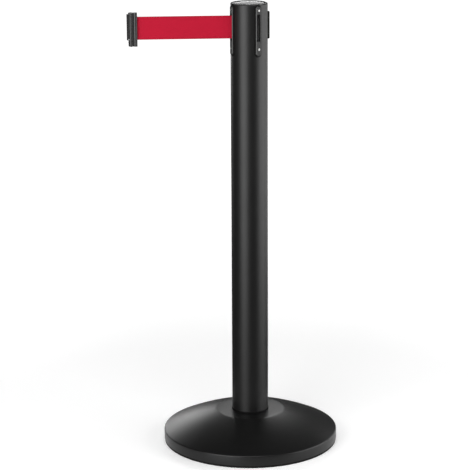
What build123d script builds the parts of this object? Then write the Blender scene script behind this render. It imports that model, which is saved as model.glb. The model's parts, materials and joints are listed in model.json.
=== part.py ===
from build123d import *
from math import acos, atan2, cos, degrees, radians, sin, sqrt
import os

# Retractable belt stanchion. Millimetres, +Z up, origin on the floor under the post's axis.
# The belt leaves the head towards -X, the receiver slots face -Y, +Y and +X.

# --- driving dimensions -------------------------------------------------------------------
overall_height = 970.0
tube_r = 39.5
tube_wall = 1.5
base_r = 190.5
base_top = 70.0
seat_r = 73.8
rim_height = 27.8
rim_shoulder = 3.2
dome_swell = 3.0
cover_hole = 7.0
sheet_wall = 1.2
ring_height = 5.0

slot_mid = overall_height - 49.3
slot_height = 57.2
slot_width = 8.0
outlet_width = 8.8
plate_height = 105.4
plate_width = 11.5
plate_face_r = 43.2
plate_bevel = 1.3
plate_mid = overall_height - 56.1
screw_spacing = 81.7
screw_mid = overall_height - 53.5

rear_height = 58.6
rear_width = 21.0
rear_face_r = 44.4
rear_slot = 55.6
rear_round = 1.2
rear_corner = 3.0

belt_width = 48.6
belt_thick = 0.6
belt_angle = 156.0
drawn_length = 205.1
clip_length = 17.1
tongue_length = 5.2
clip_depth = 15.0
clip_top = overall_height - 16.4
clip_bottom = overall_height - 87.1
clip_cap = 2.2
clip_waist = 9.4
clip_neck = 1.2
clip_groove = 2.6
stand_off = 1.8
tongue_low = overall_height - 74.2
tongue_high = overall_height - 19.6
tongue_half = 3.2
latch_half = 2.0
hem_r = 3.0
hem_pin_r = 1.6

# --- values worked out from them ----------------------------------------------------------
bore_r = tube_r - tube_wall
cap_flange = 2.4
tube_top = overall_height - cap_flange
tube_foot = base_top
dome_slope = atan2(base_top - rim_height, base_r - seat_r)
slot_low = slot_mid - slot_height / 2
slot_high = slot_mid + slot_height / 2
belt_low = slot_mid - belt_width / 2
belt_high = slot_mid + belt_width / 2
screw_levels = [screw_mid - screw_spacing / 2, screw_mid + screw_spacing / 2]
receiver_turns = {"front": -90.0, "back": 90.0}

# cassette inside the head
cassette_r = bore_r - 0.2
cassette_wall = 3.3
deck = 3.0
lower_deck = slot_low - 2.6
upper_deck = slot_high + 2.2
lower_skirt = lower_deck - 18.0
upper_skirt = upper_deck + 8.7
shaft_r = 4.0
shaft_low = lower_deck - 17.0
shaft_high = upper_deck + 11.0
spool_low = belt_low - 2.0
spool_high = belt_high + 2.0
spool_r = 24.0
core_r = 8.0
roll_r = 21.4
flange = 1.6
bush_r = 6.0
running = 0.05
pillar_r = 3.0
pillar_ring = 30.0

# guide rollers in the outlet
roller_r = 2.0
roller_pin_r = 1.0
roller_x = -34.6
roller_a_y = -2.55
roller_b_y = 2.75
belt_gap = 0.05

# mainspring and brake
drum_r = 25.0
drum_low = lower_deck - 16.0
strip = 0.5
spring_pitch = 2.2
spring_halves = 12
arbor_r = 7.0
brake_drum_r = 20.4
brake_bore = 18.4
shoe_out = 17.6
shoe_in = 13.2
shoe_pivot = 15.4
shoe_pin_r = 1.2

# fasteners
plate_screw_r = 1.6
plate_head_r = 2.8
base_bolt_r = 5.0

# receivers and clip
pocket_wall = 1.6
pocket_floor = 27.5
clip_end = drawn_length + clip_length
hem_place = drawn_length + 7.0
lip_low = clip_bottom + 4.7


# --- small helpers ------------------------------------------------------------------------
def disc(r, z0, z1, x=0.0, y=0.0):
    """A round bar standing from z0 to z1."""
    return Pos(x, y, (z0 + z1) / 2) * Cylinder(r, z1 - z0)


def ring(r_out, r_in, z0, z1, x=0.0, y=0.0):
    return disc(r_out, z0, z1, x, y) - disc(r_in, z0 - 1, z1 + 1, x, y)


def block(x0, x1, y0, y1, z0, z1):
    middle = Pos((x0 + x1) / 2, (y0 + y1) / 2, (z0 + z1) / 2)
    return middle * Box(x1 - x0, y1 - y0, z1 - z0)


def turned(points):
    """A solid of revolution about Z from an outline of (radius, height) points."""
    return revolve(Plane.XZ * make_face(Polyline(*points, close=True)), Axis.Z)


def rod_x(r, x0, x1, z, y=0.0):
    """A round bar along X."""
    return Pos((x0 + x1) / 2, y, z) * Rot(0, 90, 0) * Cylinder(r, abs(x1 - x0))


def polar(r, angle):
    return r * cos(radians(angle)), r * sin(radians(angle))


def around(shape, turn):
    return Rot(0, 0, turn) * shape


def many(shapes):
    return Compound(children=list(shapes))


def oblong(height, width, x0, x1, mid):
    """An upright bar along X with round ends, as a receiver's outline."""
    outline = Plane.YZ.offset(x0) * SlotOverall(height, width, rotation=90)
    return Pos(0, 0, mid) * extrude(outline, x1 - x0)


def window(height, width, x0, x1, mid, corner=1.2):
    outline = Plane.YZ.offset(x0) * RectangleRounded(width, height, corner)
    return Pos(0, 0, mid) * extrude(outline, x1 - x0)


# --- base ---------------------------------------------------------------------------------
def floor_ring():
    """Rubber tread under the rim: it carries the weight and plugs into the cover's foot."""
    edge = base_r - 0.7
    plug = base_r - sheet_wall
    outline = [
        (base_r - 16, 0),
        (edge - 1, 0),
        (edge, 1),
        (edge, ring_height),
        (plug, ring_height),
        (plug, ring_height + 6),
        (plug - 2.6, ring_height + 6),
        (plug - 2.6, ring_height),
        (base_r - 16, ring_height),
    ]
    return turned(outline)


def dome_edge(inset):
    """The cover's section from the rim's foot to the bolt hole, moved in by inset."""
    shoulder = rim_shoulder
    slope = dome_slope
    rim = base_r - inset
    rim_top = rim_height - inset
    start = (rim, ring_height)
    up = (rim, rim_top - shoulder)
    knee = (rim - shoulder * (1 - sin(slope)), rim_top - shoulder + shoulder * cos(slope))
    knee_mid_angle = (radians(90) - slope) / 2
    bend = (
        rim - shoulder * (1 - cos(knee_mid_angle)),
        rim_top - shoulder + shoulder * sin(knee_mid_angle),
    )
    seat = (seat_r, base_top - inset)
    return start, up, bend, knee, seat


def dome_face(inset, hole_r):
    start, up, bend, knee, seat = dome_edge(inset)
    bulge = (dome_swell * sin(dome_slope), dome_swell * cos(dome_slope))
    middle = ((knee[0] + seat[0]) / 2 + bulge[0], (knee[1] + seat[1]) / 2 + bulge[1])
    lines = Line(start, up) + ThreePointArc(up, bend, knee)
    lines += ThreePointArc(knee, middle, seat)
    lines += Polyline(seat, (hole_r, base_top - inset), (hole_r, ring_height), start)
    return make_face(Plane.XZ * lines)


def base_cover():
    """Pressed steel cover: low rim, domed flank, flat seat for the post."""
    outer = revolve(dome_face(0.0, cover_hole), Axis.Z)
    inner = revolve(dome_face(sheet_wall, cover_hole - 2), Axis.Z)
    return outer - inner


def base_weight():
    """Cast disc with a hub that the post is bolted down on, and eight ribs."""
    low = ring_height
    hub_top = base_top - sheet_wall
    outline = [
        (6.0, low + 9),
        (14.0, low + 9),
        (14.0, low),
        (base_r - 4, low),
        (base_r - 4, low + 9),
        (base_r - 8, low + 12),
        (44.0, low + 12),
        (33.0, low + 20),
        (30.0, hub_top),
        (6.0, hub_top),
    ]
    weight = turned(outline)
    rib = block(28, 112, -3, 3, low + 10, low + 30)
    rib -= Pos(112, 0, low + 30) * Rot(0, 22, 0) * Box(190, 10, 22)
    for step in range(8):
        weight += around(rib, 22.5 + 45 * step)
    return weight


def base_bolt():
    low = ring_height
    head = extrude(Plane.XY.offset(low + 1) * RegularPolygon(8.5, 6), 6.4)
    shank = disc(base_bolt_r, low + 7, base_top + 24)
    return head + shank


def base_washer():
    return ring(12.5, base_bolt_r + 0.4, ring_height + 7.4, ring_height + 9)


def foot_plug():
    """Welded plug in the tube's foot, threaded for the base bolt."""
    outline = [
        (base_bolt_r, base_top),
        (bore_r, base_top),
        (bore_r, base_top + 14),
        (bore_r - 3, base_top + 14),
        (bore_r - 4, base_top + 7),
        (15.0, base_top + 7),
        (12.0, base_top + 28),
        (base_bolt_r, base_top + 28),
    ]
    return turned(outline)


def foot_collar():
    """Trim ring that covers the joint between the post and the base."""
    outline = [
        (tube_r, base_top),
        (tube_r + 1.0, base_top),
        (tube_r + 1.0, base_top + 2.6),
        (tube_r + 0.5, base_top + 3.4),
        (tube_r, base_top + 3.4),
    ]
    return turned(outline)


# --- post ---------------------------------------------------------------------------------
def screw_holes(radius, x0, x1):
    return [rod_x(radius, x0, x1, level) for level in screw_levels]


def post_tube():
    """Drawn tube with a window for the belt, two receivers and the rear receiver."""
    tube = ring(tube_r, bore_r, tube_foot, tube_top)
    inner = bore_r - 12
    tube -= around(window(slot_height, 9.6, inner, tube_r + 5, slot_mid), 180)
    for turn in receiver_turns.values():
        tube -= around(window(slot_height, slot_width, inner, tube_r + 5, slot_mid), turn)
    tube -= window(rear_height + 0.4, rear_width + 0.4, inner, tube_r + 8, slot_mid, rear_corner + 0.2)
    for turn in [180, *receiver_turns.values()]:
        for hole in screw_holes(plate_screw_r + 0.2, inner, tube_r + 2):
            tube -= around(hole, turn)
    return tube


def top_cap():
    """Moulded cap: flanged rim, shallow recessed disc, spigot inside the tube."""
    top = overall_height
    spigot = tube_top - 6.4
    outline = [
        (0, tube_top - 0.6),
        (31.0, tube_top - 0.6),
        (33.2, spigot),
        (bore_r - 0.05, spigot),
        (bore_r - 0.05, tube_top),
        (tube_r, tube_top),
        (tube_r, tube_top + 0.7),
        (tube_r - 0.5, top - 0.9),
        (tube_r - 1.6, top - 0.25),
        (tube_r - 3.2, top),
        (33.0, top),
        (32.2, top - 0.7),
        (0, top - 0.7),
    ]
    return turned(outline)


# --- plates and receivers -----------------------------------------------------------------
def head_plate(opening=slot_width):
    """Oblong cover plate with a slot, bevelled all round and hollowed to fit the tube."""
    plate = oblong(plate_height, plate_width, bore_r, plate_face_r, plate_mid)
    front = plate.faces().sort_by(Axis.X)[-1]
    plate = chamfer(front.edges(), plate_bevel)
    plate -= disc(tube_r, overall_height - 120, overall_height + 10)
    plate -= window(slot_height, opening, bore_r, plate_face_r + 2, slot_mid)
    for level in screw_levels:
        plate -= rod_x(plate_screw_r, bore_r, plate_face_r + 1, level)
    return plate


def receiver_pocket():
    """Trough behind a receiver slot, closed at the back, where the tongue hangs."""
    half = slot_width / 2 + 0.3
    back = pocket_floor
    front = sqrt(bore_r**2 - (half + pocket_wall) ** 2) - 0.2
    shell = block(
        back - pocket_wall,
        front,
        -half - pocket_wall,
        half + pocket_wall,
        slot_low - 1.8,
        slot_high + 1.8,
    )
    return shell - block(back, front + 1, -half, half, slot_low - 0.3, slot_high + 0.3)


def strike_plate():
    """Steel edge low in a receiver, which the clip's latch catches on."""
    half = slot_width / 2
    low = slot_low - 0.3
    foot = block(pocket_floor, pocket_floor + 6.5, -half, half, low, low + 1.0)
    return foot + block(pocket_floor, pocket_floor + 1.0, -half, half, low, low + 9.0)


def rear_receiver():
    """Moulded receiver of the cassette: it stands out through the tube's rear window."""
    boss = window(rear_height, rear_width, 30.0, rear_face_r, slot_mid, rear_corner)
    front = boss.faces().sort_by(Axis.X)[-1]
    boss = fillet(front.edges(), rear_round)
    half = slot_width / 2
    back = pocket_floor - pocket_wall
    boss += block(back, 31, -half - 1.9, half + 1.9, slot_mid - 29.1, slot_mid + 29.1)
    return boss - window(rear_slot, slot_width, pocket_floor, rear_face_r + 1, slot_mid)


def plate_screws():
    """Countersunk screws: two in each of the three plates, driven into the cassette."""
    tip = cassette_r - cassette_wall - 1.5
    screws = []
    for turn in [180, *receiver_turns.values()]:
        for level in screw_levels:
            shank = rod_x(plate_screw_r, tip, plate_face_r, level)
            head = rod_x(plate_head_r, plate_face_r, plate_face_r + 0.7, level)
            drive = rod_x(0.9, plate_face_r + 0.2, plate_face_r + 1, level)
            screws.append(around(shank + head - drive, turn))
    return many(screws)


# --- cassette -----------------------------------------------------------------------------
def pillar_places():
    return [polar(pillar_ring, 45 + 90 * step) for step in range(4)]


def roller_places():
    return [(roller_x, roller_a_y), (roller_x, roller_b_y)]


def deck_holes(z0, z1):
    holes = [disc(bush_r, z0, z1)]
    holes += [disc(1.5, z0, z1, x, y) for x, y in pillar_places()]
    holes += [disc(roller_pin_r, z0, z1, x, y) for x, y in roller_places()]
    return holes


def cassette_deck(deck_low, skirt_low, skirt_high):
    part = disc(cassette_r, deck_low, deck_low + deck)
    part += ring(cassette_r, cassette_r - cassette_wall, skirt_low, skirt_high)
    for hole in deck_holes(deck_low - 1, deck_low + deck + 1):
        part -= hole
    for turn in [180, *receiver_turns.values()]:
        for hole in screw_holes(plate_screw_r, 25, 45):
            part -= around(hole, turn)
    return part


def cassette_lower():
    return cassette_deck(lower_deck - deck, lower_skirt, lower_deck)


def cassette_upper():
    return cassette_deck(upper_deck, upper_deck, upper_skirt)


def cassette_pillars():
    """Spacers that hold the two decks apart, threaded at both ends."""
    pillars = []
    for x, y in pillar_places():
        bar = disc(pillar_r, lower_deck, upper_deck, x, y)
        for low in (lower_deck - 1, upper_deck - 9):
            bar -= disc(1.5, low, low + 10, x, y)
        pillars.append(bar)
    return many(pillars)


def cassette_screws():
    screws = []
    for x, y in pillar_places():
        up = disc(1.5, lower_deck - deck, lower_deck + 7, x, y)
        up += disc(2.6, lower_deck - deck - 1.8, lower_deck - deck, x, y)
        down = disc(1.5, upper_deck - 7, upper_deck + deck, x, y)
        down += disc(2.6, upper_deck + deck, upper_deck + deck + 1.8, x, y)
        screws += [up, down]
    return many(screws)


def bush(low):
    return ring(bush_r, shaft_r + running, low, low + deck)


def lower_bush():
    return bush(lower_deck - deck) + ring(7.5, shaft_r + running, lower_deck, lower_deck + 1.2)


def upper_bush():
    return bush(upper_deck) + ring(7.5, shaft_r + running, upper_deck - 1.2, upper_deck)


def roller_pins():
    pins = [disc(roller_pin_r, lower_deck - deck, upper_deck + deck, x, y) for x, y in roller_places()]
    return many(pins)


def guide_roller(place):
    x, y = place
    return ring(roller_r, roller_pin_r + running, slot_low + 0.6, slot_high - 0.6, x, y)


# --- spool, mainspring and brake ----------------------------------------------------------
def spool_shaft():
    """Plain shaft with two clip grooves and a flat for the arbor and the carrier."""
    shaft = disc(shaft_r, shaft_low, shaft_high)
    for low in clip_grooves():
        shaft -= ring(shaft_r + 1, shaft_r - 0.5, low, low + 0.8)
    return shaft


def clip_grooves():
    return [shaft_low + 0.6, shaft_high - 1.4]


def shaft_clips():
    clips = []
    for low in clip_grooves():
        clip = ring(shaft_r + 1.6, shaft_r - 0.45, low, low + 0.8)
        clips.append(clip - block(0, 8, -1.2, 1.2, low - 1, low + 2))
    return many(clips)


def belt_spool():
    spool = disc(core_r, spool_low, spool_high)
    spool += disc(spool_r, spool_low, spool_low + flange)
    spool += disc(spool_r, spool_high - flange, spool_high)
    spool -= disc(shaft_r, spool_low - 1, spool_high + 1)
    for step in range(6):
        x, y = polar(16.5, 60 * step)
        spool -= disc(3.6, spool_low - 1, spool_low + flange + 0.1, x, y)
        spool -= disc(3.6, spool_high - flange - 0.1, spool_high + 1, x, y)
    return spool


def belt_roll():
    return ring(roll_r, core_r, belt_low, belt_high)


def spiral_face(r0, pitch, halves, thick):
    """A flat spiral strip of half circles whose centres take turns about the axis."""
    edges = []
    for side in (-thick / 2, thick / 2):
        for step in range(halves):
            centre = 0.0 if step % 2 == 0 else pitch / 2
            radius = r0 + step * pitch / 2 + side
            start = 0 if step % 2 == 0 else 180
            edges.append(CenterArc((centre, 0), radius, start, 180))
    end = r0 + (halves - 1) * pitch / 2
    tail = pitch / 2 if halves % 2 == 0 else 0.0
    sign = 1 if halves % 2 == 0 else -1
    edges.append(Line((r0 - thick / 2, 0), (r0 + thick / 2, 0)))
    far = tail + sign * end
    edges.append(Line((far - thick / 2, 0), (far + thick / 2, 0)))
    return make_face(edges)


def mainspring():
    low = drum_low + 2
    face = spiral_face(arbor_r + strip / 2, spring_pitch, spring_halves, strip)
    return extrude(Plane.XY.offset(low) * face, 9.5)


def spring_drum():
    """Cup under the lower deck that the mainspring's outer end is hooked to."""
    low = drum_low
    top = lower_deck - deck
    return ring(drum_r, drum_r - 1.5, low, top) + ring(drum_r, arbor_r + 1, top - 1, top)


def spring_cover():
    return ring(drum_r, shaft_r + 2.4, drum_low - 1.4, drum_low)


def spring_arbor():
    return ring(arbor_r, shaft_r, drum_low + 1, drum_low + 12.5)


def brake_drum():
    low = upper_deck + deck
    wall = ring(brake_drum_r, brake_bore, low, low + 7.6)
    return wall + ring(brake_drum_r, bush_r + 1, low, low + 1)


def shoe_places():
    return {"a": 15.0, "b": 195.0}


def brake_carrier():
    """Arm on the shaft's top with the two pivots of the brake shoes."""
    low = upper_deck + deck + 1.6
    arm = around(block(-17, 17, -4, 4, low, low + 1.4), 15)
    arm = (arm + disc(7.0, low, low + 1.4)) & disc(17.4, low, low + 2)
    for angle in shoe_places().values():
        x, y = polar(shoe_pivot, angle)
        arm += disc(shoe_pin_r, low, low + 5.6, x, y)
    return arm - disc(shaft_r, low - 1, low + 8)


def brake_shoe(angle):
    low = upper_deck + deck + 3.3
    arc = ring(shoe_out, shoe_in, low, low + 3.2)
    sector = Plane.XY.offset(low - 1) * make_face(
        Polyline((0, 0), polar(40, angle - 9), polar(40, angle + 60), polar(40, angle + 128), close=True)
    )
    x, y = polar(shoe_pivot, angle)
    return (arc & extrude(sector, 6)) - disc(shoe_pin_r + running, low - 1, low + 5, x, y)


# --- belt and clip ------------------------------------------------------------------------
belt_dir = polar(1.0, belt_angle)
belt_left = polar(1.0, belt_angle + 90)
wrap_r = roller_r + belt_gap + belt_thick / 2
belt_exit = (roller_x - wrap_r * belt_left[0], roller_a_y - wrap_r * belt_left[1])


def on_belt(along, side=0.0):
    """A point in plan, measured along the drawn belt from the roller and to its left."""
    return (
        belt_exit[0] + along * belt_dir[0] + side * belt_left[0],
        belt_exit[1] + along * belt_dir[1] + side * belt_left[1],
    )


def lead_angle():
    """Heading of the belt between the roll and the guide roller."""
    reach = sqrt(roller_x**2 + roller_a_y**2)
    across = acos((roll_r + belt_gap + belt_thick / 2 + wrap_r) / reach)
    return degrees(atan2(roller_a_y, roller_x) + across) - 90


def strip_from(start, heading, length):
    """A flat belt's solid: start is its middle in plan."""
    turn = Pos(start[0], start[1], slot_mid) * Rot(0, 0, heading)
    return turn * Pos(length / 2, 0, 0) * Box(length, belt_thick, belt_width)


def belt_lead():
    """The stretch from the roll to the guide roller, inside the head."""
    heading = lead_angle()
    start = polar(roll_r + belt_gap + belt_thick / 2, heading + 90)
    end = (roller_x - wrap_r * cos(radians(heading + 90)), roller_a_y - wrap_r * sin(radians(heading + 90)))
    length = sqrt((end[0] - start[0]) ** 2 + (end[1] - start[1]) ** 2)
    return strip_from(start, heading, length)


def belt_run():
    """The drawn belt, from the guide roller to the loop round the hem pin."""
    run = strip_from(belt_exit, belt_angle, hem_place - 2.2)
    x, y = on_belt(hem_place)
    loop = ring(hem_pin_r + 0.05 + belt_thick, hem_pin_r + 0.05, belt_low, belt_high, x, y)
    return run + loop


def hem_pin():
    x, y = on_belt(hem_place)
    return disc(hem_pin_r, clip_bottom + clip_cap, clip_top - clip_cap, x, y)


def clip_side(side, first, last, half):
    """One side of the clip's section: a broad rib, a groove and a narrower rib."""

    def at(along, across):
        return on_belt(along, side * across)

    waist = drawn_length + clip_waist
    low = half - clip_groove
    lines = ThreePointArc(at(first, low), at((first + waist - clip_neck) / 2, half), at(waist - clip_neck, low))
    lines += Line(at(waist - clip_neck, low), at(waist + clip_neck, low))
    lines += ThreePointArc(at(waist + clip_neck, low), at((last + waist + clip_neck) / 2, half), at(last, low))
    return lines


def clip_solid(z0, z1):
    """The clip's section in plan, raised from z0 to z1."""
    half = clip_depth / 2
    low = half - clip_groove
    lines = clip_side(1, drawn_length, clip_end, half) + clip_side(-1, drawn_length, clip_end, half)
    for along in (drawn_length, clip_end):
        lines += Line(on_belt(along, low), on_belt(along, -low))
    return extrude(Plane.XY.offset(z0) * make_face(lines), z1 - z0)


def along_box(s0, s1, w0, w1, z0, z1):
    """A block laid along the drawn belt."""
    x, y = on_belt((s0 + s1) / 2, (w0 + w1) / 2)
    place = Pos(x, y, (z0 + z1) / 2) * Rot(0, 0, belt_angle)
    return place * Box(s1 - s0, w1 - w0, z1 - z0)


def clip_body():
    """Moulded clip with a keyhole channel for the belt's hem and a seat for the tongue."""
    low = clip_bottom + clip_cap
    high = clip_top - clip_cap
    body = clip_solid(low, high)
    body -= along_box(drawn_length - 1, hem_place, -0.8, 0.8, low - 1, high + 1)
    x, y = on_belt(hem_place)
    body -= disc(hem_r, low - 1, high + 1, x, y)
    end = clip_end
    slit = latch_half + 0.1
    body -= along_box(end - 3.0, end + 1, -tongue_half, tongue_half, tongue_low, tongue_high)
    body -= along_box(end - 5.2, end - 3.0, -slit, slit, low - 1, tongue_low + 33)
    body += along_box(end - 0.2, end + stand_off, -tongue_half, tongue_half, low, tongue_low)
    return body - along_box(end - 3.0, end + stand_off + 1, -slit, slit, lip_low + 1.5, tongue_low)


def clip_tongue():
    """Blade that drops into a receiver: tapered nose and a hook notch at its foot."""
    end = clip_end
    out = end + tongue_length
    tongue = along_box(end - 3.0, out, -tongue_half, tongue_half, tongue_low, tongue_high)
    nose = tongue.edges().filter_by(Axis.Z)
    x, y = on_belt(out, 0)
    far = [e for e in nose if ((e.center().X - x) ** 2 + (e.center().Y - y) ** 2) < (tongue_half + 1) ** 2]
    tongue = chamfer(far, 1.0)
    notch = along_box(end, end + 1.8, -tongue_half - 1, tongue_half + 1, tongue_low - 1, tongue_low + 2)
    return tongue - notch


def softened(shape, edge, width):
    """Breaks the rim of a flat shape's top (edge -1) or bottom (edge 0)."""
    return chamfer(shape.faces().sort_by(Axis.Z)[edge].edges(), width)


def clip_end_cap(low, high, edge):
    brow = along_box(clip_end - 3, clip_end + stand_off, -4.4, 4.4, low, high)
    corners = brow.edges().filter_by(Axis.Z).sort_by(lambda line: -line.center().dot(Vector(*belt_dir, 0)))
    brow = fillet(corners[:2], 1.2)
    return clip_solid(low, high) + softened(brow, edge, 0.5)


def clip_cap_top():
    return clip_end_cap(clip_top - clip_cap, clip_top, -1)


def clip_cap_bottom():
    cap = clip_end_cap(clip_bottom, clip_bottom + clip_cap, 0)
    end = clip_end
    return cap - along_box(end - 5.2, end - 3.0, -latch_half - 0.1, latch_half + 0.1, clip_bottom - 1, 890)


def clip_latch():
    """Sprung release bar: its foot shows under the clip and is pushed up to let go."""
    end = clip_end
    bar = along_box(end - 5.1, end - 3.1, -latch_half, latch_half, clip_bottom - 1.4, tongue_low + 27)
    hook = along_box(end - 3.2, end + 2.2, -latch_half, latch_half, lip_low + 2.4, lip_low + 4.8)
    return bar + hook


def write(node, shape):
    export_step(shape, os.path.join("parts", node + ".step"))


def build():
    os.makedirs("parts", exist_ok=True)
    pieces = {
        "floor_ring": floor_ring(),
        "base_weight": base_weight(),
        "base_cover": base_cover(),
        "base_bolt": base_bolt(),
        "base_washer": base_washer(),
        "foot_plug": foot_plug(),
        "foot_collar": foot_collar(),
        "post_tube": post_tube(),
        "top_cap": top_cap(),
        "outlet_plate": around(head_plate(outlet_width), 180),
        "rear_receiver": rear_receiver(),
        "plate_screws": plate_screws(),
        "cassette_lower": cassette_lower(),
        "cassette_upper": cassette_upper(),
        "cassette_pillars": cassette_pillars(),
        "cassette_screws": cassette_screws(),
        "lower_bush": lower_bush(),
        "upper_bush": upper_bush(),
        "roller_pins": roller_pins(),
        "spring_drum": spring_drum(),
        "spring_cover": spring_cover(),
        "mainspring": mainspring(),
        "brake_drum": brake_drum(),
        "belt_lead": belt_lead(),
        "spool_shaft": spool_shaft(),
        "shaft_clips": shaft_clips(),
        "belt_spool": belt_spool(),
        "belt_roll": belt_roll(),
        "spring_arbor": spring_arbor(),
        "brake_carrier": brake_carrier(),
        "belt_run": belt_run(),
        "hem_pin": hem_pin(),
        "clip_body": clip_body(),
        "clip_tongue": clip_tongue(),
        "clip_cap_top": clip_cap_top(),
        "clip_cap_bottom": clip_cap_bottom(),
        "clip_latch": clip_latch(),
    }
    for name, turn in receiver_turns.items():
        pieces["receiver_plate_" + name] = around(head_plate(), turn)
        pieces["receiver_pocket_" + name] = around(receiver_pocket(), turn)
        pieces["strike_plate_" + name] = around(strike_plate(), turn)
    for name, place in zip("ab", roller_places()):
        pieces["guide_roller_" + name] = guide_roller(place)
    for name, angle in shoe_places().items():
        pieces["brake_shoe_" + name] = brake_shoe(angle)
    for node, shape in pieces.items():
        write(node, shape)
    print("belt exit", belt_exit, "direction", belt_dir)
    print("lead heading", lead_angle())


build()
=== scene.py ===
import json
from math import acos, atan2, cos, degrees, pi, radians, sin, sqrt

import bmesh
import bpy
from mathutils import Euler, Matrix, Vector


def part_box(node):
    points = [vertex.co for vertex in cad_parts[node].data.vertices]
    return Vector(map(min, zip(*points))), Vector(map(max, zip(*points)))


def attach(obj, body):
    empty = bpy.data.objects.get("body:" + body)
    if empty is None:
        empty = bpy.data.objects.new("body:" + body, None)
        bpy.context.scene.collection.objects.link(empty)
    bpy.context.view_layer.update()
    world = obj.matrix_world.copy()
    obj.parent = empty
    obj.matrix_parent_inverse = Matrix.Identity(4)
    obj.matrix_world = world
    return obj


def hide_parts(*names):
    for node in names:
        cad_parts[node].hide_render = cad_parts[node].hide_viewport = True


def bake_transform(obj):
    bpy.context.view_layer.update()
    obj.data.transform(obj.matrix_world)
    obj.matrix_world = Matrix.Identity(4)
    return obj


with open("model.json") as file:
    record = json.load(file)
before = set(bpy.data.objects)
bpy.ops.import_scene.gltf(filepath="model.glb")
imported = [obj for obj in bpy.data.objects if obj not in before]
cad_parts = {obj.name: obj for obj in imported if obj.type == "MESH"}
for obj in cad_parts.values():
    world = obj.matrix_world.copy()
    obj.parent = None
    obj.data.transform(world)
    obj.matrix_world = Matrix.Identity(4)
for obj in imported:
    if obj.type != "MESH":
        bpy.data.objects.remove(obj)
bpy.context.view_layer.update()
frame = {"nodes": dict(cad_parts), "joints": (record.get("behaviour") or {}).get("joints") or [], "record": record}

nodes = frame["nodes"]
joints = {joint["name"]: joint for joint in frame["joints"]}
mm = 0.001


# A piece starts as a bmesh and ends as one object at the origin.
def finishMesh(bm, name, paint, smooth=True, outward=True):
    bmesh.ops.remove_doubles(bm, verts=bm.verts, dist=1e-6)
    if outward:
        bmesh.ops.recalc_face_normals(bm, faces=bm.faces)
    mesh = bpy.data.meshes.new(name)
    bm.to_mesh(mesh)
    bm.free()
    for face in mesh.polygons:
        face.use_smooth = smooth
    piece = bpy.data.objects.new(name, mesh)
    bpy.context.scene.collection.objects.link(piece)
    mesh.materials.append(paint.material)
    return piece


# Turns an outline of (radius, height) in metres about the post's axis.
def spinOutline(outline, name, paint, steps, sharp):
    bm = bmesh.new()
    points = [bm.verts.new((radius, 0, height)) for radius, height in outline]
    for a, b in zip(points, points[1:]):
        bm.edges.new((a, b))
    bmesh.ops.spin(bm, geom=bm.verts[:] + bm.edges[:], cent=(0, 0, 0), axis=(0, 0, 1),
                   angle=2 * pi, steps=steps, use_merge=True, use_duplicate=False)
    piece = finishMesh(bm, name, paint)
    piece.data.set_sharp_from_angle(angle=radians(sharp))
    return piece


# Points of an arc in the outline's plane, angles in degrees.
def arc(centre, radius, start, end, steps):
    points = []
    for step in range(steps + 1):
        angle = radians(start + (end - start) * step / steps)
        points.append((centre[0] + radius * cos(angle), centre[1] + radius * sin(angle)))
    return points


# Wraps one output socket, so an expression on it adds Math nodes.
class Value:

    def __init__(self, paint, socket):
        self.paint = paint
        self.socket = socket

    def math(self, operation, *others):
        return self.paint.add("ShaderNodeMath", {"operation": operation}, dict(enumerate((self,) + others)))

    def flipped(self, operation, other):
        return self.paint.add("ShaderNodeMath", {"operation": operation}, {0: other, 1: self})

    def __add__(self, other):
        return self.math("ADD", other)

    def __radd__(self, other):
        return self.flipped("ADD", other)

    def __sub__(self, other):
        return self.math("SUBTRACT", other)

    def __rsub__(self, other):
        return self.flipped("SUBTRACT", other)

    def __mul__(self, other):
        return self.math("MULTIPLY", other)

    def __rmul__(self, other):
        return self.flipped("MULTIPLY", other)

    def __truediv__(self, other):
        return self.math("DIVIDE", other)

    def __pow__(self, other):
        return self.math("POWER", other)


# One material and the record's slot that it stands for.
class Paint:

    def __init__(self, name, slot):
        self.material = bpy.data.materials.new(name)
        self.material.use_nodes = True
        self.tree = self.material.node_tree
        self.surface = self.tree.nodes["Principled BSDF"]
        self.slot = slot
        self.place = self.add("ShaderNodeTexCoord", out="Object")

    def plug(self, socket, item):
        if isinstance(item, Value):
            self.tree.links.new(item.socket, socket)
        else:
            socket.default_value = item

    def add(self, kind, settings=None, sockets=None, out=0):
        node = self.tree.nodes.new(kind)
        for key, setting in (settings or {}).items():
            setattr(node, key, setting)
        for key, item in (sockets or {}).items():
            self.plug(node.inputs[key], item)
        return Value(self, node.outputs[out])

    def noise(self, scale, detail=2.0, roughness=0.5, place=None):
        sockets = {"Vector": place or self.place, "Scale": scale, "Detail": detail, "Roughness": roughness}
        return self.add("ShaderNodeTexNoise", sockets=sockets, out="Fac")

    def mixColour(self, factor, first, second):
        return self.add("ShaderNodeMix", {"data_type": "RGBA"}, {0: factor, 6: first, 7: second}, out=2)

    # distance to the origin, or to the post's axis when the height is left out
    def reach(self, place):
        return self.add("ShaderNodeVectorMath", {"operation": "LENGTH"}, {0: place}, out="Value")

    def bump(self, height, distance):
        normal = self.add("ShaderNodeBump", sockets={"Height": height, "Distance": distance}, out="Normal")
        self.plug(self.surface.inputs["Normal"], normal)

    def set(self, **values):
        names = {"colour": "Base Color", "rough": "Roughness", "metal": "Metallic", "sheen": "Sheen Weight",
                 "sheenRough": "Sheen Roughness", "gloss": "Specular IOR Level"}
        for key, value in values.items():
            self.plug(self.surface.inputs[names[key]], value)


def grey(level, warm=0.0):
    return (level * (1 + warm), level, level * (1 - warm), 1)


print("materials")

powder = {"colour": 0.0035, "postRough": 0.42, "baseRough": 0.35, "postGloss": 0.42, "baseGloss": 0.30,
          "grain": 1500, "depth": 0.00004}


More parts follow.
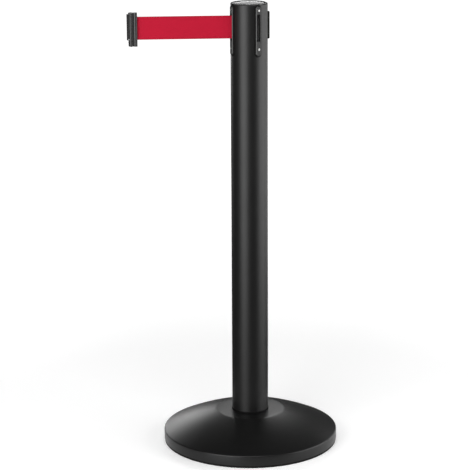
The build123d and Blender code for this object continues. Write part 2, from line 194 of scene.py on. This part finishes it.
# Satin powder coat: fine orange peel, slow changes of gloss, a trace of handling marks.
def makePowderCoat(name, rough, gloss):
    paint = Paint(name, "powder_coat")
    peel = paint.noise(powder["grain"], 2.0)
    slow = paint.noise(9.0, 3.0, 0.55)
    marks = paint.noise(46.0, 4.0, 0.7)
    tone = paint.mixColour(slow, grey(powder["colour"] * 0.9), grey(powder["colour"] * 1.15))
    paint.set(colour=tone, rough=rough + (slow - 0.5) * 0.05 + (marks - 0.5) * 0.05, gloss=gloss)
    paint.bump(peel, powder["depth"])
    return paint


# depth is the height of the moulded texture, in metres
mouldings = {
    "mattPlastic": {"slot": "black_plastic", "level": 0.003, "rough": 0.6,
                    "grain": 1500.0, "depth": 0.00003, "gloss": 0.1},
    "blackPlastic": {"slot": "black_plastic", "level": 0.006, "rough": 0.38,
                     "grain": 1500.0, "depth": 0.00003},
    "clipPlastic": {"slot": "clip_plastic", "level": 0.011, "rough": 0.33,
                    "grain": 1500.0, "depth": 0.00003},
    "greyPlastic": {"slot": "grey_plastic", "level": 0.11, "rough": 0.5,
                    "grain": 1300.0, "depth": 0.00004},
    "brakeLining": {"slot": "brake_lining", "level": 0.045, "rough": 0.85,
                    "grain": 700.0, "depth": 0.00012, "warm": 0.1},
}


# Moulded plastic with a spark-eroded texture and faint flow clouding.
def makeMoulded(name, slot, level, rough, grain, depth, warm=0.0, gloss=0.5):
    paint = Paint(name, slot)
    fine = paint.noise(grain, 3.0, 0.6)
    cloud = paint.noise(24.0, 2.0)
    tone = paint.mixColour(cloud, grey(level * 0.86, warm), grey(level * 1.16, warm))
    paint.set(colour=tone, rough=rough + (cloud - 0.5) * 0.06 + (fine - 0.5) * 0.05, gloss=gloss)
    paint.bump(fine, depth)
    return paint


capFinish = {"level": 0.006, "discRough": 0.2, "beadRough": 0.55, "edge": 0.0332, "grain": 1500.0,
             "depth": 0.00002}


# Black cap: the sunk disc is polished, the bead round it is matt.
def makeCapPlastic():
    paint = Paint("capPlastic", "gloss_black")
    flat = paint.add("ShaderNodeVectorMath", {"operation": "MULTIPLY"}, {0: paint.place, 1: (1, 1, 0)})
    bead = paint.reach(flat).math("GREATER_THAN", capFinish["edge"])
    cloud = paint.noise(30.0, 3.0)
    tone = paint.mixColour(cloud, grey(capFinish["level"] * 0.8), grey(capFinish["level"] * 1.2))
    spread = capFinish["beadRough"] - capFinish["discRough"]
    paint.set(colour=tone, rough=capFinish["discRough"] + bead * spread + (cloud - 0.5) * 0.04)
    paint.bump(paint.noise(capFinish["grain"], 2.0) * bead, capFinish["depth"])
    return paint


# stretch draws the tool marks out along one axis
metals = {
    "zincSteel": {"slot": "zinc_steel", "colour": (0.55, 0.55, 0.52), "rough": 0.34,
                  "stretch": (1, 1, 0.1)},
    "brightSteel": {"slot": "bright_steel", "colour": (0.46, 0.46, 0.45), "rough": 0.26,
                    "stretch": (1, 1, 0.1)},
    "springSteel": {"slot": "spring_steel", "colour": (0.24, 0.27, 0.34), "rough": 0.3,
                    "stretch": (0.1, 0.1, 1)},
    "bushBrass": {"slot": "brass", "colour": (0.62, 0.44, 0.18), "rough": 0.35,
                  "stretch": (1, 1, 0.1)},
}
plating = {"cloud": 0.12, "lines": 900.0, "depth": 0.00003}


# Plated or turned metal: stretched noise for the tool marks, slow clouding of the plating.
def makeMetal(name, slot, colour, rough, stretch):
    paint = Paint(name, slot)
    mapping = paint.add("ShaderNodeMapping", sockets={"Vector": paint.place, "Scale": stretch})
    lines = paint.noise(plating["lines"], 2.0, place=mapping)
    slow = paint.noise(60.0, 3.0)
    dark = tuple(channel * (1 - plating["cloud"]) for channel in colour) + (1,)
    light = tuple(channel * (1 + plating["cloud"]) for channel in colour) + (1,)
    paint.set(colour=paint.mixColour(slow, dark, light), metal=1.0, rough=rough + (lines - 0.5) * 0.2)
    paint.bump(lines, plating["depth"])
    return paint


# Sand-cast iron with a few rusty patches.
def makeCastIron():
    paint = Paint("castIron", "cast_iron")
    sand = paint.noise(420.0, 5.0, 0.65)
    rust = paint.noise(22.0, 4.0, 0.6).math("GREATER_THAN", 0.62)
    tone = paint.mixColour(rust * 0.35, (0.075, 0.073, 0.07, 1), (0.13, 0.06, 0.03, 1))
    paint.set(colour=tone, metal=0.35, rough=0.66 + (sand - 0.5) * 0.2)
    paint.bump(sand, 0.0003)
    return paint


rubberFinish = {"clean": 0.004, "dusty": 0.009, "rough": 0.72, "gloss": 0.1,
                "grain": 1400.0, "depth": 0.00005}


def makeRubber():
    paint = Paint("rubber", "rubber")
    fine = paint.noise(rubberFinish["grain"], 3.0)
    dust = paint.noise(30.0, 4.0, 0.7)
    tone = paint.mixColour(dust, grey(rubberFinish["clean"]), grey(rubberFinish["dusty"], 0.05))
    paint.set(colour=tone, rough=rubberFinish["rough"] + (dust - 0.5) * 0.1, gloss=rubberFinish["gloss"])
    paint.bump(fine, rubberFinish["depth"])
    return paint


# The belt runs along beltAxis; weave is counted in threads per metre along it and across it.
beltAxis = Vector(joints["belt_pull"]["axis"]).normalized()
weave = {"warp": 1180.0, "weft": 760.0, "red": (0.33, 0.0012, 0.018, 1), "deep": (0.17, 0.0006, 0.008, 1),
         "selvedge": 14.0, "depth": 0.00012}


# Plain-woven polyester: warp ribs along the belt, weft picks across it. The grooves between the threads are
# painted darker (painted shade), and the colour is darker towards the belt's top and bottom edges.
def makeWebbing():
    paint = Paint("webbing", "belt_web")
    low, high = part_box("belt_run")
    middle = (low.z + high.z) / 2
    half = (high.z - low.z) / 2
    turn = Euler((0, 0, -atan2(beltAxis.y, beltAxis.x)))
    laid = paint.add("ShaderNodeMapping", sockets={"Vector": paint.place, "Rotation": turn})
    along = paint.add("ShaderNodeSeparateXYZ", sockets={0: laid}, out="X")
    across = paint.add("ShaderNodeSeparateXYZ", sockets={0: laid}, out="Z") - middle
    warpWave = (across * (weave["warp"] * pi)).math("SINE")
    weftPhase = warpWave.math("SIGN") * (pi / 2)
    weftWave = (along * (weave["weft"] * pi) + weftPhase).math("SINE")
    thread = warpWave.math("ABSOLUTE") * 0.6 + weftWave.math("ABSOLUTE") * 0.4
    fuzz = paint.noise(2600.0, 3.0, 0.7)
    batch = paint.noise(18.0, 2.0)
    edge = (across.math("ABSOLUTE") / half).math("SMOOTH_MIN", 1.0, 0.02) ** weave["selvedge"]
    # (1 - thread) darkens the grooves between the threads: painted shade. batch and fuzz give a random tone; edge
    # darkens towards the top and bottom edges.
    paintedShadeAndTone = (1 - thread) * 0.5 + (batch - 0.5) * 0.25 + (fuzz - 0.5) * 0.2 + edge * 0.45
    factor = paintedShadeAndTone.math("MAXIMUM", 0.0).math("MINIMUM", 1.0)
    paint.set(colour=paint.mixColour(factor, weave["red"], weave["deep"]))
    paint.set(rough=0.62 + (fuzz - 0.5) * 0.2, sheen=0.05, sheenRough=0.4, gloss=0.12)
    paint.bump(thread + fuzz * 0.25, weave["depth"])
    return paint


baseCoat = makePowderCoat("baseCoat", powder["baseRough"], powder["baseGloss"])
postCoat = makePowderCoat("postCoat", powder["postRough"], powder["postGloss"])
paints = [postCoat, makeWebbing(), makeCapPlastic(), makeRubber(), makeCastIron()]
paints += [makeMoulded(name, **look) for name, look in mouldings.items()]
paints += [makeMetal(name, **look) for name, look in metals.items()]
slotPaint = {paint.slot: paint for paint in paints}
mattPlastic = next(paint for paint in paints if paint.material.name == "mattPlastic")
mattNodes = ("rear_receiver", "foot_collar")


# Every CAD node takes the finish of its own slot in the record.
def paintNodes():
    for entry in frame["record"]["subparts"]:
        node = nodes[entry["node"]]
        paint = mattPlastic if entry["node"] in mattNodes else slotPaint[entry["material_slot"]]
        if not node.material_slots:
            node.data.materials.append(paint.material)
        for place in node.material_slots:
            place.material = paint.material


paintNodes()

print("base")

baseLow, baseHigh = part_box("base_cover")
cover = {"radius": baseHigh.x, "foot": baseLow.z, "seat": baseHigh.z, "rim": 27.8 * mm,
         "seatRadius": 73.8 * mm, "shoulder": 3.2 * mm, "wall": 1.2 * mm, "hole": 7 * mm, "swell": 3 * mm,
         "skirt": 4 * mm, "middle": 50 * mm, "edgeOut": 0.4 * mm, "edgeDrop": 0.12 * mm, "edgeIn": 0.8 * mm,
         "rows": 25, "steps": 256, "sharp": 50}


# Half section of the cover, moved inwards by inset: rim, shoulder, dome, edge of the seat, bolt hole.
def coverOutline(inset):
    slope = atan2(cover["seat"] - cover["rim"], cover["radius"] - cover["seatRadius"])
    radius = cover["radius"] - inset
    bend = cover["shoulder"] - inset * 0.6
    centre = (radius - bend, cover["rim"] - inset - bend)
    points = [(radius, cover["foot"]), (radius, cover["foot"] + cover["skirt"])]
    points += arc(centre, bend, 0, 90 - degrees(slope), 6)
    knee = points[-1]
    edge, seat = cover["seatRadius"], cover["seat"] - inset
    for step in range(1, cover["rows"]):
        share = step / cover["rows"]
        height = knee[1] + (seat - knee[1]) * share + cover["swell"] * 4 * share * (1 - share)
        points.append((knee[0] + (edge - knee[0]) * share, height))
    points.append((edge + cover["edgeOut"], seat - cover["edgeDrop"]))
    points.append((edge - cover["edgeIn"], seat))
    points.append((cover["middle"], seat))
    points.append((cover["hole"], seat))
    return points


# Pressed cover: one closed sheet, outside then back along the inside.
def makeCover():
    outside = coverOutline(0)
    inside = coverOutline(cover["wall"])[::-1]
    piece = spinOutline(outside + inside + outside[:1], "baseCover", baseCoat, cover["steps"], cover["sharp"])
    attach(piece, "post")
    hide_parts("base_cover")


makeCover()

print("post and cap")

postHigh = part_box("post_tube")[1]
capLow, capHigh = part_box("top_cap")
cap = {"radius": postHigh.x, "top": capHigh.z, "foot": capLow.z, "joint": postHigh.z,
       "bore": postHigh.x - 1.55 * mm, "disc": 33.4 * mm, "sunk": 1.5 * mm, "crown": 2.4 * mm,
       "wall": 4.6 * mm, "draft": 1.5 * mm, "underside": 3.0 * mm, "middle": 12 * mm, "fillet": 0.8 * mm,
       "rise": 0.1 * mm, "rows": 16, "steps": 128, "sharp": 40}


# Moulded cap: a rounded bead round a sunk flat disc, and a spigot down inside the tube.
def makeCap():
    discTop = cap["top"] - cap["sunk"]
    beadHalf = (cap["radius"] - cap["disc"]) / 2
    beadMiddle = (cap["radius"] + cap["disc"]) / 2
    outline = [(0, discTop), (cap["middle"], discTop), (cap["disc"] - cap["fillet"], discTop)]
    outline.append((cap["disc"], discTop + cap["rise"]))
    for step in range(2, cap["rows"] + 1):
        angle = pi - pi * step / cap["rows"]
        outline.append((beadMiddle + beadHalf * cos(angle), cap["top"] - cap["crown"] * (1 - sin(angle))))
    outline.append((cap["radius"], cap["joint"]))
    outline.append((cap["bore"], cap["joint"]))
    outline.append((cap["bore"], cap["foot"]))
    outline.append((cap["bore"] - cap["wall"], cap["foot"]))
    outline.append((cap["bore"] - cap["wall"] - cap["draft"], cap["top"] - cap["underside"]))
    outline.append((0, cap["top"] - cap["underside"]))
    piece = spinOutline(outline, "topCap", slotPaint["gloss_black"], cap["steps"], cap["sharp"])
    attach(piece, "post")
    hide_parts("top_cap")


makeCap()

plateLow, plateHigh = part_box("receiver_plate_front")
plate = {"face": -plateLow.y, "half": plateHigh.x, "low": plateLow.z, "high": plateHigh.z}
# Dark strips round the three head plates that stand in for the shadow line there: painted shade.
shadowBand = {"lip": 2.2 * mm, "proud": 0.8 * mm, "sink": 0.3 * mm, "deep": 3.0 * mm, "segments": 48,
          "turns": {"frontShadowBand": 0, "backShadowBand": 180, "outletShadowBand": -90}}


def turnAboutPost(bm, angle):
    bmesh.ops.rotate(bm, verts=bm.verts, cent=(0, 0, 0), matrix=Matrix.Rotation(radians(angle), 3, "Z"))


# A thin black rubber band between a head plate and the tube, standing in for the dark shadow line round the plate:
# painted shade.
def makeShadowBand(name, angle):
    bm = bmesh.new()
    spread = (plate["high"] - plate["low"]) / 2 - plate["half"]
    middle = (plate["high"] + plate["low"]) / 2
    half = plate["half"] + shadowBand["lip"]
    bmesh.ops.create_circle(bm, cap_ends=True, segments=shadowBand["segments"], radius=half)
    for vert in bm.verts:
        vert.co = Vector((vert.co.x, 0, vert.co.y))
    upper = [vert for vert in bm.verts if vert.co.z > 1e-6]
    lower = [vert for vert in bm.verts if vert.co.z < -1e-6]
    bmesh.ops.translate(bm, verts=upper, vec=(0, 0, spread))
    bmesh.ops.translate(bm, verts=lower, vec=(0, 0, -spread))
    band = bmesh.ops.inset_region(bm, faces=bm.faces[:], thickness=shadowBand["deep"], use_boundary=True)
    middleFaces = [face for face in bm.faces if face not in band["faces"]]
    bmesh.ops.delete(bm, geom=middleFaces, context="FACES_ONLY")
    grown = bmesh.ops.extrude_face_region(bm, geom=bm.faces[:])
    moved = [item for item in grown["geom"] if isinstance(item, bmesh.types.BMVert)]
    bmesh.ops.translate(bm, verts=moved, vec=(0, 1, 0))
    # both ends follow the tube's round face: one lies in it, the other stands proud
    for vert in bm.verts:
        face = sqrt(cap["radius"] ** 2 - vert.co.x ** 2)
        vert.co.y = -(face + shadowBand["proud"]) if vert.co.y > 0.5 else -(face - shadowBand["sink"])
    bmesh.ops.translate(bm, verts=bm.verts, vec=(0, 0, middle))
    turnAboutPost(bm, angle)
    piece = finishMesh(bm, name, slotPaint["rubber"], smooth=False)
    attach(piece, "post")


# Each head plate gets its band of painted shade.
for shadowBandName, shadowBandTurn in shadowBand["turns"].items():
    makeShadowBand(shadowBandName, shadowBandTurn)

screwLow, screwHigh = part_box("plate_screws")
screw = {"head": 2.7 * mm, "proud": 0.65 * mm, "shank": 1.6 * mm, "inside": 8 * mm, "socket": 1.25 * mm,
         "deep": 0.9 * mm, "levels": (screwLow.z + 2.8 * mm, screwHigh.z - 2.8 * mm), "sharp": 35}


# Draws an open edge loop out to a circle (or straight up, with no radius) and returns the new loop.
def growLoop(bm, loop, radius, height):
    step = bmesh.ops.extrude_edge_only(bm, edges=loop)
    for vert in [item for item in step["geom"] if isinstance(item, bmesh.types.BMVert)]:
        if radius:
            flat = Vector((vert.co.x, vert.co.y, 0)).normalized() * radius
            vert.co.xy = flat.xy
        vert.co.z = height
    edges = [item for item in step["geom"] if isinstance(item, bmesh.types.BMEdge)]
    return [edge for edge in edges if edge.is_boundary]


# Two oval-head screws with a hexagon socket in each of the three plates.
def makeScrews():
    whole = bpy.data.meshes.new("screwParts")
    bm = bmesh.new()
    head = screw["head"]
    proud = screw["proud"]
    profile = [(0, 0), (head * 0.62, 0), (head * 0.86, -0.12 * proud), (head * 0.97, -0.4 * proud),
               (head, -0.7 * proud), (head, -proud), (screw["shank"], -proud),
               (screw["shank"], -screw["inside"])]
    for level in screw["levels"]:
        # the screws take the head plates' turns, which the painted-shade bands share
        for angle in shadowBand["turns"].values():
            part = bmesh.new()
            bmesh.ops.create_circle(part, cap_ends=True, segments=6, radius=screw["socket"])
            bmesh.ops.subdivide_edges(part, edges=part.edges[:], cuts=3)
            bmesh.ops.translate(part, verts=part.verts, vec=(0, 0, -screw["deep"]))
            loop = part.edges[:]
            for radius, height in profile:
                loop = growLoop(part, loop, radius, height)
            bmesh.ops.holes_fill(part, edges=loop)
            upright = Matrix.Rotation(radians(90), 3, "X")
            bmesh.ops.rotate(part, verts=part.verts, cent=(0, 0, 0), matrix=upright)
            bmesh.ops.translate(part, verts=part.verts, vec=(0, -plate["face"] - proud, level))
            turnAboutPost(part, angle)
            part.to_mesh(whole)
            part.free()
            bm.from_mesh(whole)
    bpy.data.meshes.remove(whole)
    piece = finishMesh(bm, "plateScrews", slotPaint["bright_steel"])
    piece.data.set_sharp_from_angle(angle=radians(screw["sharp"]))
    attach(piece, "post")
    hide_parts("plate_screws")


makeScrews()

print("belt")

# body is the share of the thickness that the plain web has; the ribs and the hem add to it
beltLow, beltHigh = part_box("belt_run")
belt = {"width": beltHigh.z - beltLow.z, "middle": (beltLow.z + beltHigh.z) / 2, "thick": 0.8 * mm,
        "roller": (-34.6 * mm, -2.55 * mm), "wrap": 2.35 * mm, "roll": 21.75 * mm, "drawn": 205.1 * mm,
        "pin": 7 * mm, "loop": 1.95 * mm, "step": 3.4 * mm, "lead": 6, "bend": 5, "loopTurn": 17.5,
        "loopSteps": 20, "ribs": 48, "body": 0.66, "rib": 0.12, "hem": 0.22, "hemWidth": 0.1}


def turnedLeft(heading):
    return Vector((-heading.y, heading.x, 0))


# The belt's middle line in plan, from the roll past the guide roller to the loop in the clip.
def beltPath():
    roller = Vector((belt["roller"][0], belt["roller"][1], 0))
    across = acos((belt["roll"] + belt["wrap"]) / roller.length)
    leadTurn = atan2(roller.y, roller.x) + across - pi / 2
    lead = Vector((cos(leadTurn), sin(leadTurn), 0))
    start = turnedLeft(lead) * belt["roll"]
    points = []
    rollerIn = roller - turnedLeft(lead) * belt["wrap"]
    rollerOut = roller - turnedLeft(beltAxis) * belt["wrap"]
    leadLength = (rollerIn - start).length
    for step in range(belt["lead"] + 1):
        points.append(start + lead * (leadLength * step / belt["lead"]))
    turn = atan2(beltAxis.y, beltAxis.x) - leadTurn
    turn = (turn + pi) % (2 * pi) - pi
    for step in range(1, belt["bend"]):
        angle = leadTurn - pi / 2 + turn * step / belt["bend"]
        points.append(roller + Vector((cos(angle), sin(angle), 0)) * belt["wrap"])
    run = belt["drawn"] + belt["pin"] - belt["loop"]
    steps = int(run / belt["step"])
    for step in range(steps + 1):
        points.append(rollerOut + beltAxis * (run * step / steps))
    pin = rollerOut + beltAxis * (belt["drawn"] + belt["pin"])
    back = atan2(-beltAxis.y, -beltAxis.x)
    for step in range(1, belt["loopSteps"]):
        angle = back + radians(belt["loopTurn"] * step)
        points.append(pin + Vector((cos(angle), sin(angle), 0)) * belt["loop"])
    return points, rollerOut, rollerOut + beltAxis * run


def makeBelt():
    points, rollerOut, loopStart = beltPath()
    steps = len(points) - 1
    bm = bmesh.new()
    bmesh.ops.create_grid(bm, x_segments=steps, y_segments=belt["ribs"], size=0.5)
    for vert in bm.verts:
        place = points[round((vert.co.x + 0.5) * steps)]
        vert.co = Vector((place.x, place.y, belt["middle"] + vert.co.y * belt["width"]))
    sheet = finishMesh(bm, "beltWeb", slotPaint["belt_web"], outward=False)
    rim = sheet.vertex_groups.new(name="selvedge")
    for vert in sheet.data.vertices:
        edge = abs(vert.co.z - belt["middle"]) / (belt["width"] / 2)
        rib = 0.5 + 0.5 * cos(edge * pi * belt["ribs"] / 4)
        hem = max(0.0, (edge - 1 + belt["hemWidth"]) / belt["hemWidth"])
        rim.add([vert.index], belt["body"] + belt["rib"] * rib + belt["hem"] * hem, "REPLACE")
    thick = sheet.modifiers.new("thickness", "SOLIDIFY")
    thick.thickness = belt["thick"]
    thick.offset = 0
    thick.vertex_group = "selvedge"
    thick.thickness_vertex_group = 0.0
    thick.use_even_offset = False
    bpy.context.view_layer.update()
    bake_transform(sheet)
    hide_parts("belt_run", "belt_lead")
    length = sum((b - a).length for a, b in zip(points, points[1:]))


makeBelt()

print("stage, lights and camera")

floor = {"near": 0.3, "nearDrop": 0.3 * mm, "far": 30.0, "farDrop": 0.6 * mm, "colour": 0.8, "glow": 0.28,
         "farGlow": 1.05, "glowFrom": 0.7, "glowOver": 2.6}


# A pale floor that keeps its brightness far out. Only the middle shows in reflections.
def makeStage():
    paint = Paint("studioFloor", "")
    rise = (paint.reach(paint.place) - floor["glowFrom"]) / floor["glowOver"]
    share = rise.math("MAXIMUM", 0.0).math("MINIMUM", 1.0)
    mottle = paint.noise(0.6, 2.0)
    tone = paint.mixColour(mottle, grey(floor["colour"]), grey(floor["colour"] * 1.02))
    glow = paint.mixColour(share, grey(floor["glow"]), grey(floor["farGlow"]))
    paint.set(colour=tone, rough=0.6)
    paint.plug(paint.surface.inputs["Emission Color"], glow)
    paint.plug(paint.surface.inputs["Emission Strength"], 1.0)
    wide = bmesh.new()
    bmesh.ops.create_grid(wide, x_segments=8, y_segments=8, size=floor["far"])
    bmesh.ops.translate(wide, verts=wide.verts, vec=(0, 0, -floor["farDrop"]))
    far = finishMesh(wide, "studioFloor", paint)
    far.visible_glossy = False
    disc = bmesh.new()
    bmesh.ops.create_circle(disc, cap_ends=True, segments=96, radius=floor["near"])
    bmesh.ops.translate(disc, verts=disc.verts, vec=(0, 0, -floor["nearDrop"]))
    near = finishMesh(disc, "studioFloorMiddle", paint)


# azimuth is counted from the front; the camera faces the post's axis, then turns by yaw, pitch and roll
camera = {"azimuth": -28.0, "distance": 4.086, "height": 1.5126, "lens": 149.06,
          "pitch": 14.378, "yaw": -0.446, "roll": -0.290}


def makeCamera():
    azimuth = radians(camera["azimuth"])
    right = Vector((cos(azimuth), sin(azimuth), 0))
    ahead = Vector((-sin(azimuth), cos(azimuth), 0))
    up = Vector((0, 0, 1))
    yaw, pitch, roll = (radians(camera[key]) for key in ("yaw", "pitch", "roll"))
    level = ahead * cos(yaw) + right * sin(yaw)
    side = right * cos(yaw) - ahead * sin(yaw)
    forward = level * cos(pitch) - up * sin(pitch)
    top = level * sin(pitch) + up * cos(pitch)
    axisX = side * cos(roll) + top * sin(roll)
    axisY = top * cos(roll) - side * sin(roll)
    data = bpy.data.cameras.new("studioCamera")
    data.lens = camera["lens"]
    data.sensor_width = 36.0
    data.clip_end = 200.0
    viewer = bpy.data.objects.new("studioCamera", data)
    place = up * camera["height"] - ahead * camera["distance"]
    viewer.matrix_world = Matrix((
        (axisX.x, axisY.x, -forward.x, place.x),
        (axisX.y, axisY.y, -forward.y, place.y),
        (axisX.z, axisY.z, -forward.z, place.z),
        (0, 0, 0, 1)))
    bpy.context.scene.collection.objects.link(viewer)
    bpy.context.scene.camera = viewer


# place is azimuth, distance and height, azimuth as the camera's; aim is the height that the panel faces
panels = {
    "keyLeft": {"place": (-62, 2.3, 0.75), "aim": 0.45, "size": (1.7, 2.2), "power": 58},
    "sideRight": {"place": (56, 2.2, 0.7), "aim": 0.4, "size": (2.5, 2.2), "power": 54},
    "rimRight": {"place": (106, 2.4, 0.6), "aim": 0.4, "size": (1.2, 1.8), "power": 9},
    "rimLeft": {"place": (200, 2.6, 0.8), "aim": 0.5, "size": (0.6, 2.0), "power": 3},
    "overhead": {"place": (-28, 1.7, 3.0), "aim": 0.0, "size": (2.2, 1.8), "power": 44},
    "backHigh": {"place": (148, 3.6, 2.25), "aim": 0.9, "size": (1.4, 1.0), "power": 21},
    "backLow": {"place": (176, 2.8, 0.85), "aim": 0.2, "size": (1.2, 1.0), "power": 13},
}


def makePanels():
    for name, panel in panels.items():
        data = bpy.data.lights.new(name, "AREA")
        data.shape = "RECTANGLE"
        data.size, data.size_y = panel["size"]
        data.energy = panel["power"]
        azimuth, distance, height = panel["place"]
        turn = radians(azimuth)
        place = Vector((sin(turn) * distance, -cos(turn) * distance, height))
        lamp = bpy.data.objects.new(name, data)
        lamp.location = place
        lamp.rotation_euler = (Vector((0, 0, panel["aim"])) - place).to_track_quat("-Z", "Y").to_euler()
        bpy.context.scene.collection.objects.link(lamp)


studio = {"light": 0.06, "backdrop": 1.0}


# The world is a white backdrop that adds only a little light.
def makeWorld():
    world = bpy.data.worlds.new("studio")
    world.use_nodes = True
    tree = world.node_tree
    background = tree.nodes["Background"]
    background.inputs["Color"].default_value = grey(1.0)
    seen = tree.nodes.new("ShaderNodeLightPath")
    strength = tree.nodes.new("ShaderNodeMapRange")
    strength.inputs["To Min"].default_value = studio["light"]
    strength.inputs["To Max"].default_value = studio["backdrop"]
    tree.links.new(seen.outputs["Is Camera Ray"], strength.inputs["Value"])
    tree.links.new(strength.outputs["Result"], background.inputs["Strength"])
    bpy.context.scene.world = world


makeStage()
makeCamera()
makePanels()
makeWorld()
bpy.context.scene.view_settings.view_transform = "Standard"
